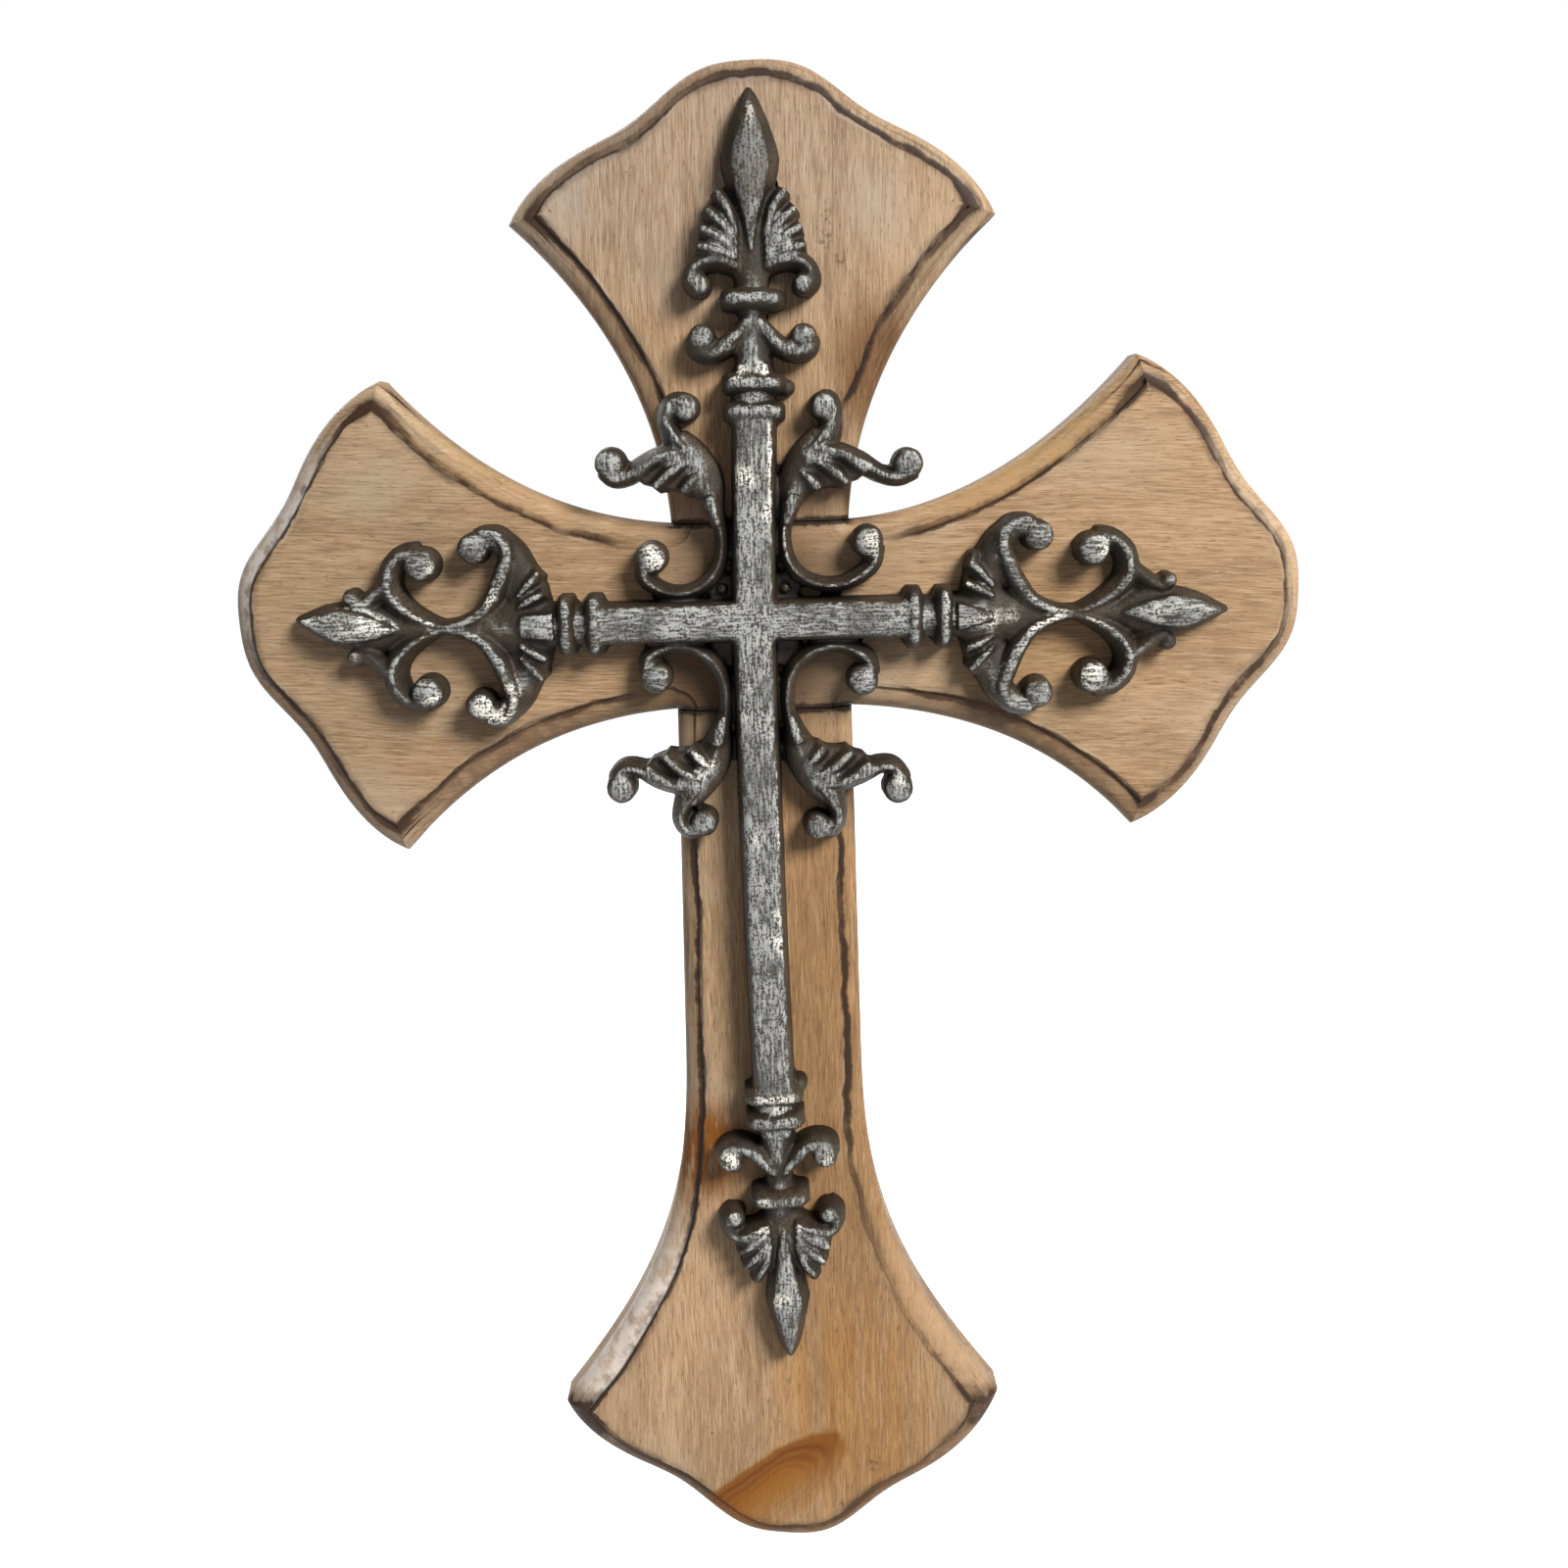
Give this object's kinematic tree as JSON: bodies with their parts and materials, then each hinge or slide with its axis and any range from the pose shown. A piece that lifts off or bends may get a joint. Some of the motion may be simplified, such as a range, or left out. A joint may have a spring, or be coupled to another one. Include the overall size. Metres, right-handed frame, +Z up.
{
  "type": "wooden wall cross",
  "caption": "Wall cross of two half-lapped boards with flared ogee ends and a routed moulding, carrying a cast iron scrollwork cross nailed to its face.",
  "frame": {"origin": "on the flat back, behind the middle of the crossing, where the cross lies on the wall", "axes": "+Z up along the upright, +Y into the wall, the carved face looks along -Y, +X to the right of someone who looks at the face"},
  "size_m": [0.2798, 0.0283, 0.406],
  "materials": {
    "wood_upright": "waxed light brown wood with dark glaze in the moulding, grain along the upright",
    "wood_crossbar": "waxed light brown wood with dark glaze in the moulding, grain along the crossbar",
    "iron": "sand-cast iron painted dark umber, with its high parts dry-brushed silver grey",
    "nail": "dark steel nail"
  },
  "bodies": {
    "root": {"upright_board": "wood_upright", "crossbar_board": "wood_crossbar", "iron_ornament": "iron", "nail_left": "nail", "nail_right": "nail"}
  },
  "joints": []
}
